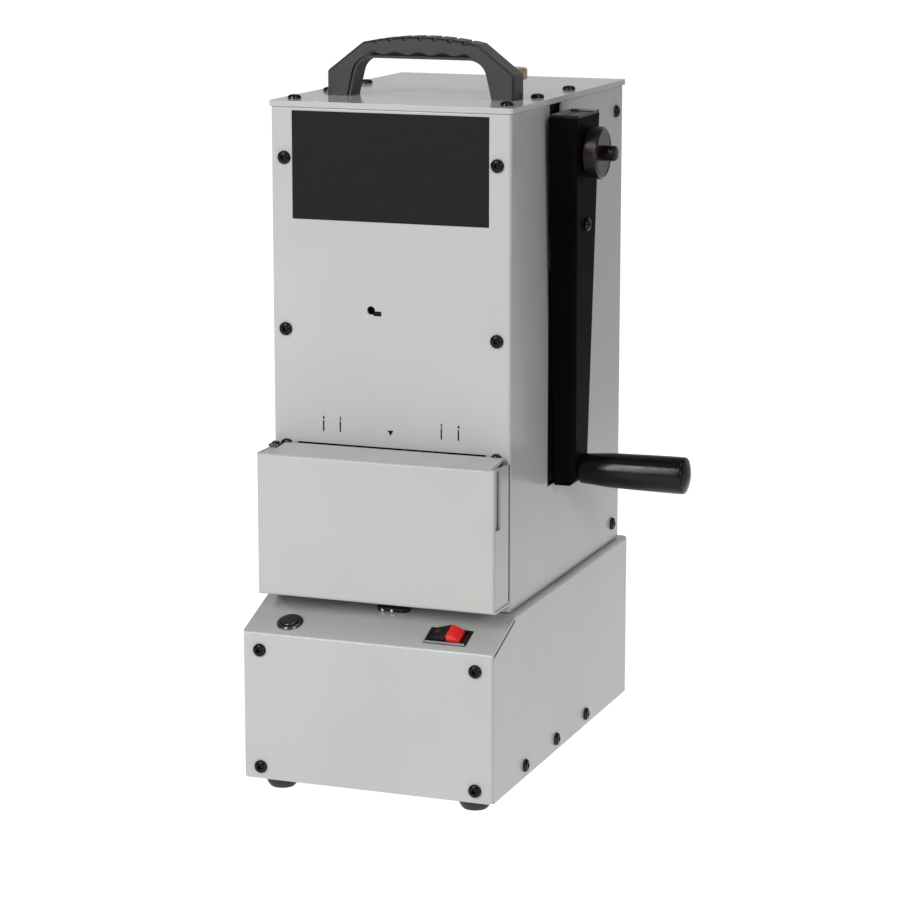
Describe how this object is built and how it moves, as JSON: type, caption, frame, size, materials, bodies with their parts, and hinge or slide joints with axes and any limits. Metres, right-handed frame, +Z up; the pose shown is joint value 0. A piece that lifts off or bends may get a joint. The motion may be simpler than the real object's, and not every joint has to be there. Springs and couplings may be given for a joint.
{
  "type": "hard drive crusher",
  "caption": "Bench-top hard drive crusher: sheet-steel cabinet on a sloped control base, hinged loading door, geared punch press, side crank with turning grip, carry handle.",
  "frame": {"origin": "middle of the whole machine's box, on the surface that it stands on", "axes": "+Z up, -Y towards the person who loads it, +X to the side that carries the crank"},
  "size_m": [0.286, 0.3118, 0.5301],
  "materials": {
    "shell_paint": "light warm grey powder coat, fine satin",
    "zinc_steel": "zinc plated sheet",
    "black_powder": "black powder coat",
    "black_oxide": "black oxide steel, oiled",
    "ground_steel": "ground tool steel",
    "gear_steel": "hobbed steel, oiled",
    "bronze": "sintered bronze",
    "tray_aluminium": "clear anodised",
    "label_black": "bare black label film",
    "handle_nylon": "black moulded nylon",
    "grip_plastic": "black phenolic, smooth",
    "foot_rubber": "black rubber",
    "belt_rubber": "black toothed belt",
    "button_chrome": "brushed stainless",
    "filler_brass": "worn brass",
    "switch_black": "black moulded",
    "rocker_red": "clear red moulding",
    "motor_paint": "grey cast aluminium",
    "motor_case": "dark grey enamel",
    "supply_case": "perforated aluminium case",
    "flag_white": "white painted flag",
    "board_green": "green circuit board"
  },
  "bodies": {
    "chassis": {"base_shell": "shell_paint", "base_floor": "zinc_steel", "corner_posts": "zinc_steel", "base_rear_panel": "shell_paint", "rubber_feet": "foot_rubber", "foot_screws": "zinc_steel", "base_screws": "black_oxide", "power_supply": "supply_case", "control_board": "board_green", "power_inlet": "switch_black", "button_bezel": "button_chrome", "button_nut": "button_chrome", "switch_bezel": "switch_black", "door_latch": "switch_black", "latch_pins": "button_chrome", "cabinet_wrap": "shell_paint", "cabinet_rear_panel": "shell_paint", "top_plate": "shell_paint", "cabinet_screws": "black_oxide", "top_screws": "black_oxide", "label_plate": "label_black", "frame_plate_left": "black_powder", "frame_plate_right": "black_powder", "bed_plate": "ground_steel", "back_plate": "black_powder", "head_block": "ground_steel", "upper_guide": "black_powder", "shaft_bushes": "bronze", "drive_support": "tray_aluminium", "gearmotor": "motor_paint", "motor_can": "motor_case", "motor_bracket": "zinc_steel", "drive_belt": "belt_rubber", "hinge_leaves": "black_oxide", "hinge_pins": "black_oxide", "carry_handle": "handle_nylon", "handle_screws": "zinc_steel", "oil_filler": "button_chrome"},
    "crank": {"crank_shaft": "black_oxide", "crank_pinion": "gear_steel", "crank_pulley": "ground_steel", "crank_arm": "black_powder", "crank_hub": "black_oxide", "lever_screw": "black_oxide", "grip_spindle": "black_oxide"},
    "crank_grip": {"crank_grip": "grip_plastic"},
    "lock_knob": {"lock_knob": "black_oxide"},
    "gear_train": {"reduction_gear": "gear_steel", "gear_shaft": "ground_steel", "rack_pinion": "gear_steel"},
    "ram": {"ram": "ground_steel", "punch": "ground_steel", "ready_flag": "flag_white"},
    "motor_output": {"output_shaft": "ground_steel", "motor_pulley": "ground_steel"},
    "door": {"door_pan": "shell_paint"},
    "start_button": {"button_cap": "button_chrome"},
    "power_rocker": {"power_rocker": "switch_black", "rocker_lens": "rocker_red"},
    "oil_cap": {"oil_cap": "filler_brass"}
  },
  "joints": [
    {"name": "crank_turn", "type": "hinge", "parent": "chassis", "child": "crank", "pos_m": [-0.04627, -0.01013, 0.449], "axis": [1, 0, 0], "range_deg": [-401.07, 0]},
    {"name": "crank_grip_spin", "type": "hinge", "parent": "crank", "child": "crank_grip", "pos_m": [0.06252, -0.00513, 0.2205], "axis": [1, 0, 0], "continuous": true},
    {"name": "lock_knob_turn", "type": "hinge", "parent": "crank", "child": "lock_knob", "pos_m": [0.06753, -0.01013, 0.449], "axis": [1, 0, 0], "range_deg": [0, 180]},
    {"name": "gear_turn", "type": "hinge", "parent": "chassis", "child": "gear_train", "pos_m": [-0.04627, -0.01013, 0.377], "axis": [1, 0, 0], "range_deg": [0, 133.69]},
    {"name": "ram_press", "type": "slide", "parent": "chassis", "child": "ram", "axis": [0, 0, 1], "range_m": [-0.042, 0]},
    {"name": "motor_output_turn", "type": "hinge", "parent": "chassis", "child": "motor_output", "pos_m": [-0.04627, 0.09888, 0.35], "axis": [1, 0, 0], "range_deg": [-401.07, 0]},
    {"name": "door_swing", "type": "hinge", "parent": "chassis", "child": "door", "pos_m": [-0.13128, -0.11163, 0.141], "axis": [0, 0, -1], "range_deg": [0, 110]},
    {"name": "start_press", "type": "slide", "parent": "chassis", "child": "start_button", "axis": [0, 0.3443, -0.9389], "range_m": [0, 0.0015], "stiffness_N_per_m": 400, "springref_m": -0.002},
    {"name": "power_rock", "type": "hinge", "parent": "chassis", "child": "power_rocker", "pos_m": [0.00912, -0.13679, 0.11979], "axis": [0, 0.9389, 0.3443], "range_deg": [0, 16]},
    {"name": "oil_cap_turn", "type": "hinge", "parent": "chassis", "child": "oil_cap", "pos_m": [0.01372, -0.02212, 0.4875], "axis": [0, 0, 1], "range_deg": [0, 360]}
  ],
  "couplings": [
    {"joint": "gear_turn", "follows": "crank_turn", "ratio": -0.33333},
    {"joint": "ram_press", "follows": "crank_turn", "m_per_rad": 0.006},
    {"joint": "motor_output_turn", "follows": "crank_turn", "ratio": 1}
  ]
}
